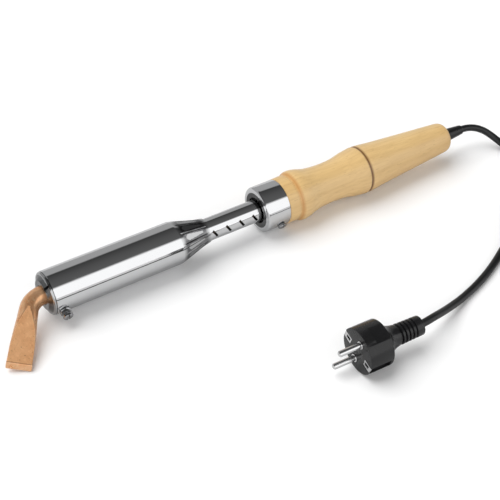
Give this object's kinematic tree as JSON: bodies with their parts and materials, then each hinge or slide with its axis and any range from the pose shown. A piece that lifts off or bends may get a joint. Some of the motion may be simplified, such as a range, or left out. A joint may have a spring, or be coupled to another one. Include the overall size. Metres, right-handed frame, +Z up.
{
  "type": "electric soldering iron",
  "caption": "Mains soldering iron with a bent copper chisel bit, crimped chrome barrel, vented stem, turned wooden handle, and a black cord with an earthed plug.",
  "frame": {"origin": "on the table, at the middle of the iron's own length and width, without its cord and plug", "axes": "+X along the iron from the bit to the handle, +Z up, and the bit is bent towards -Y"},
  "size_m": [0.5041, 0.2182, 0.0438],
  "materials": {
    "copper": "forged copper, lightly brushed, satin",
    "chrome": "bright chrome plate",
    "ring_steel": "turned steel, plated",
    "screw_steel": "plated screw steel",
    "core_steel": "plain steel",
    "mica": "mica paper",
    "nichrome": "oxidised resistance wire",
    "glass_fibre": "woven glass fibre",
    "lead_insulation": "glass-silk sleeving",
    "brass": "plain brass",
    "wood": "pale turned wood, clear satin lacquer",
    "ceramic": "steatite",
    "cord_rubber": "black rubber sheath",
    "tie_plastic": "black tie",
    "plug_plastic": "black moulded plastic, fine satin",
    "pin_chrome": "bright nickel plate"
  },
  "bodies": {
    "iron": {"barrel_shell": "chrome", "stem_tube": "chrome", "ferrule": "chrome", "front_retaining_ring": "ring_steel", "clamp_screw_nut": "screw_steel", "ferrule_screw_1": "screw_steel", "ferrule_screw_2": "screw_steel", "cord_stop_screw": "screw_steel", "core_tube": "core_steel", "core_stop": "core_steel", "rear_spacer_disc": "core_steel", "stem_flange": "core_steel", "inner_mica_sleeve": "mica", "outer_mica_sleeve": "mica", "heating_element": "nichrome", "glass_fibre_wrap": "glass_fibre", "line_lead": "lead_insulation", "neutral_lead": "lead_insulation", "earth_lead": "lead_insulation", "cord_core_line": "lead_insulation", "cord_core_neutral": "lead_insulation", "earth_tag": "brass", "terminal_screw_1": "brass", "terminal_screw_2": "brass", "terminal_screw_3": "brass", "terminal_screw_4": "brass", "cord_stop": "brass", "handle": "wood", "stem_bush": "wood", "terminal_block": "ceramic", "cord_tail": "cord_rubber", "cord_sleeve": "cord_rubber", "mains_cord_handle_run": "cord_rubber", "cord_coil": "cord_rubber", "mains_cord_plug_run": "cord_rubber", "cord_tie": "tie_plastic", "plug_body": "plug_plastic", "plug_pin_1": "pin_chrome", "plug_earth_clip_1": "pin_chrome", "plug_pin_2": "pin_chrome", "plug_earth_clip_2": "pin_chrome"},
    "bit": {"soldering_bit": "copper"},
    "clamp_screw": {"bit_clamp_screw": "screw_steel"}
  },
  "joints": [
    {"name": "bit_slide", "type": "slide", "parent": "iron", "child": "bit", "axis": [-1, 0, 0], "range_m": [0, 0.04]},
    {"name": "clamp_screw_turn", "type": "hinge", "parent": "iron", "child": "clamp_screw", "pos_m": [-0.17218, 0.01396, 0.0219], "axis": [0, -0.8988, -0.4384], "range_deg": [0, 720]}
  ]
}
